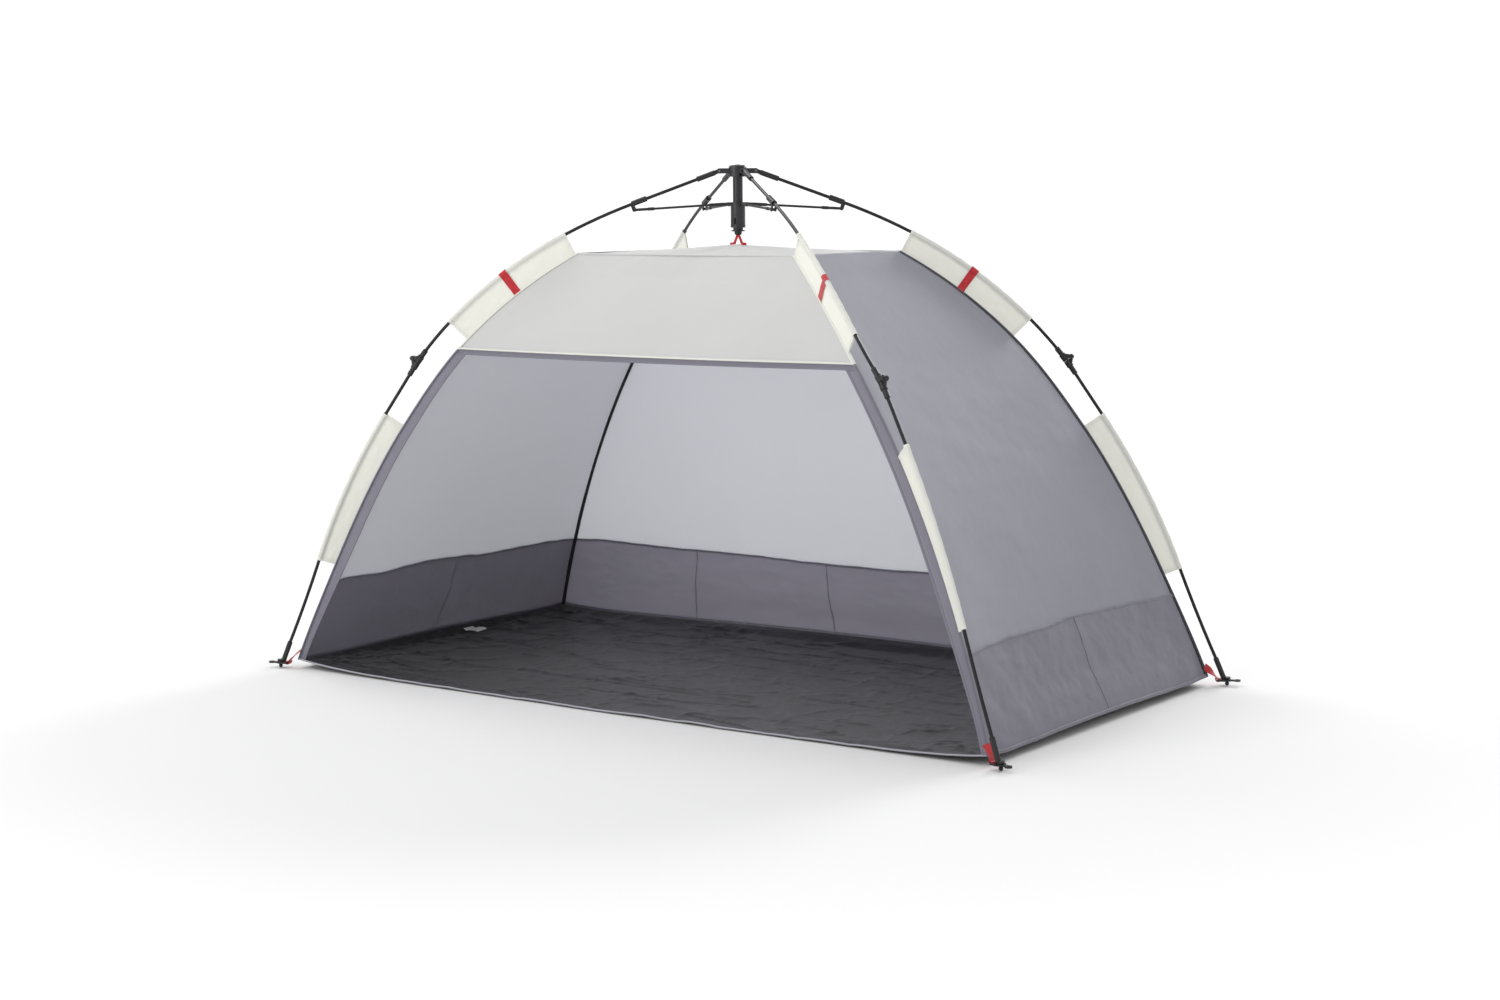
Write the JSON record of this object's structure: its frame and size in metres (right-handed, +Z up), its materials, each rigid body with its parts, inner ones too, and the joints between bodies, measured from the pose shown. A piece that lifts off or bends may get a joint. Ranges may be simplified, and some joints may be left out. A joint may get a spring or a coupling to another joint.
{
  "type": "quick-up beach shelter",
  "caption": "Umbrella-hub beach shelter: jointed poles fold from a sliding hub and hold an open-fronted fabric shell with groundsheet.",
  "frame": {"origin": "on the ground under the middle of the hub, bottom centre of the bounding box", "axes": "+Z up, +X to the right along the wide open front, which faces -Y"},
  "size_m": [2.1522, 1.119, 1.2512],
  "materials": {
    "hub_plastic": "satin",
    "black_plastic": "satin",
    "pole_rod": "semi-gloss",
    "post_metal": "anodised",
    "steel": "plain",
    "wall_cloth": "coated plain weave",
    "skirt_cloth": "coated plain weave",
    "canopy_cloth": "coated plain weave",
    "floor_sheet": "coated, creased",
    "sleeve_cloth": "plain weave",
    "red_webbing": "ribbed webbing",
    "label_cloth": "satin"
  },
  "bodies": {
    "hub_and_shell": {"hub_crown": "hub_plastic", "centre_post": "post_metal", "post_end_cap": "black_plastic", "hub_fasteners": "steel", "wall_left": "wall_cloth", "wall_right": "wall_cloth", "wall_rear": "wall_cloth", "skirt": "skirt_cloth", "awning": "canopy_cloth", "roof": "canopy_cloth", "floor": "floor_sheet", "roof_strap": "red_webbing", "corner_webbing": "red_webbing", "care_label": "label_cloth"},
    "runner_slider": {"runner": "hub_plastic"},
    "latch_button": {"release_latch": "black_plastic"},
    "upper_leg_rear_right": {"pole_socket_rear_right": "black_plastic", "upper_pole_rear_right": "pole_rod", "pole_clip_rear_right": "black_plastic", "elbow_upper_rear_right": "black_plastic", "sleeve_upper_rear_right": "sleeve_cloth", "sleeve_band_rear_right": "red_webbing"},
    "lower_leg_rear_right": {"elbow_lower_rear_right": "black_plastic", "lower_pole_rear_right": "pole_rod", "foot_rear_right": "black_plastic", "sleeve_lower_rear_right": "sleeve_cloth"},
    "strut_link_rear_right": {"strut_rear_right": "black_plastic"},
    "upper_leg_rear_left": {"pole_socket_rear_left": "black_plastic", "upper_pole_rear_left": "pole_rod", "pole_clip_rear_left": "black_plastic", "elbow_upper_rear_left": "black_plastic", "sleeve_upper_rear_left": "sleeve_cloth", "sleeve_band_rear_left": "red_webbing"},
    "lower_leg_rear_left": {"elbow_lower_rear_left": "black_plastic", "lower_pole_rear_left": "pole_rod", "foot_rear_left": "black_plastic", "sleeve_lower_rear_left": "sleeve_cloth"},
    "strut_link_rear_left": {"strut_rear_left": "black_plastic"},
    "upper_leg_front_right": {"pole_socket_front_right": "black_plastic", "upper_pole_front_right": "pole_rod", "pole_clip_front_right": "black_plastic", "elbow_upper_front_right": "black_plastic", "sleeve_upper_front_right": "sleeve_cloth", "sleeve_band_front_right": "red_webbing"},
    "lower_leg_front_right": {"elbow_lower_front_right": "black_plastic", "lower_pole_front_right": "pole_rod", "foot_front_right": "black_plastic", "sleeve_lower_front_right": "sleeve_cloth"},
    "strut_link_front_right": {"strut_front_right": "black_plastic"},
    "upper_leg_front_left": {"pole_socket_front_left": "black_plastic", "upper_pole_front_left": "pole_rod", "pole_clip_front_left": "black_plastic", "elbow_upper_front_left": "black_plastic", "sleeve_upper_front_left": "sleeve_cloth", "sleeve_band_front_left": "red_webbing"},
    "lower_leg_front_left": {"elbow_lower_front_left": "black_plastic", "lower_pole_front_left": "pole_rod", "foot_front_left": "black_plastic", "sleeve_lower_front_left": "sleeve_cloth"},
    "strut_link_front_left": {"strut_front_left": "black_plastic"}
  },
  "joints": [
    {"name": "fold", "type": "hinge", "parent": "hub_and_shell", "child": "upper_leg_rear_right", "pos_m": [0.03604, 0.02524, 1.236], "axis": [-0.5736, 0.8192, 0], "range_deg": [0, 51], "deforming": ["wall_left", "wall_right", "wall_rear", "skirt", "awning", "roof", "floor", "corner_webbing"]},
    {"name": "elbow_rear_right", "type": "hinge", "parent": "upper_leg_rear_right", "child": "lower_leg_rear_right", "pos_m": [0.68487, 0.41758, 0.78691], "axis": [0.3563, -0.9344, 0], "range_deg": [0, 176.2]},
    {"name": "crown_hinge_rear_left", "type": "hinge", "parent": "hub_and_shell", "child": "upper_leg_rear_left", "pos_m": [-0.03604, 0.02524, 1.236], "axis": [-0.5736, -0.8192, 0], "range_deg": [0, 51.2]},
    {"name": "elbow_rear_left", "type": "hinge", "parent": "upper_leg_rear_left", "child": "lower_leg_rear_left", "pos_m": [-0.68487, 0.41758, 0.78691], "axis": [0.3563, 0.9344, 0], "range_deg": [0, 176.2]},
    {"name": "crown_hinge_front_right", "type": "hinge", "parent": "hub_and_shell", "child": "upper_leg_front_right", "pos_m": [0.03604, -0.02524, 1.236], "axis": [0.5736, 0.8192, 0], "range_deg": [0, 51.2]},
    {"name": "elbow_front_right", "type": "hinge", "parent": "upper_leg_front_right", "child": "lower_leg_front_right", "pos_m": [0.68487, -0.41758, 0.78691], "axis": [-0.3563, -0.9344, 0], "range_deg": [0, 176.2]},
    {"name": "crown_hinge_front_left", "type": "hinge", "parent": "hub_and_shell", "child": "upper_leg_front_left", "pos_m": [-0.03604, -0.02524, 1.236], "axis": [0.5736, -0.8192, 0], "range_deg": [0, 51.2]},
    {"name": "elbow_front_left", "type": "hinge", "parent": "upper_leg_front_left", "child": "lower_leg_front_left", "pos_m": [-0.68487, -0.41758, 0.78691], "axis": [-0.3563, 0.9344, 0], "range_deg": [0, 176.2]},
    {"name": "runner_slide", "type": "slide", "parent": "hub_and_shell", "child": "runner_slider", "axis": [0, 0, 1], "range_m": [0, 0.0737]},
    {"name": "strut_hinge_rear_right", "type": "hinge", "parent": "runner_slider", "child": "strut_link_rear_right", "pos_m": [0.01966, 0.01377, 1.157], "axis": [-0.5736, 0.8192, 0], "range_deg": [0, 66.8]},
    {"name": "strut_hinge_rear_left", "type": "hinge", "parent": "runner_slider", "child": "strut_link_rear_left", "pos_m": [-0.01966, 0.01377, 1.157], "axis": [-0.5736, -0.8192, 0], "range_deg": [0, 66.8]},
    {"name": "strut_hinge_front_right", "type": "hinge", "parent": "runner_slider", "child": "strut_link_front_right", "pos_m": [0.01966, -0.01377, 1.157], "axis": [0.5736, 0.8192, 0], "range_deg": [0, 66.8]},
    {"name": "strut_hinge_front_left", "type": "hinge", "parent": "runner_slider", "child": "strut_link_front_left", "pos_m": [-0.01966, -0.01377, 1.157], "axis": [0.5736, -0.8192, 0], "range_deg": [0, 66.8]},
    {"name": "latch_press", "type": "slide", "parent": "runner_slider", "child": "latch_button", "axis": [0, 1, 0], "range_m": [0, 0.002], "stiffness_N_per_m": 800, "springref_m": -0.001}
  ],
  "couplings": [
    {"joint": "elbow_rear_right", "follows": "fold", "ratio": 3.45},
    {"joint": "crown_hinge_rear_left", "follows": "fold", "ratio": 1},
    {"joint": "elbow_rear_left", "follows": "fold", "ratio": 3.45},
    {"joint": "crown_hinge_front_right", "follows": "fold", "ratio": 1},
    {"joint": "elbow_front_right", "follows": "fold", "ratio": 3.45},
    {"joint": "crown_hinge_front_left", "follows": "fold", "ratio": 1},
    {"joint": "elbow_front_left", "follows": "fold", "ratio": 3.45},
    {"joint": "runner_slide", "follows": "fold", "m_per_rad": 0.082539},
    {"joint": "strut_hinge_rear_right", "follows": "fold", "ratio": 1.3042},
    {"joint": "strut_hinge_rear_left", "follows": "fold", "ratio": 1.3042},
    {"joint": "strut_hinge_front_right", "follows": "fold", "ratio": 1.3042},
    {"joint": "strut_hinge_front_left", "follows": "fold", "ratio": 1.3042}
  ]
}
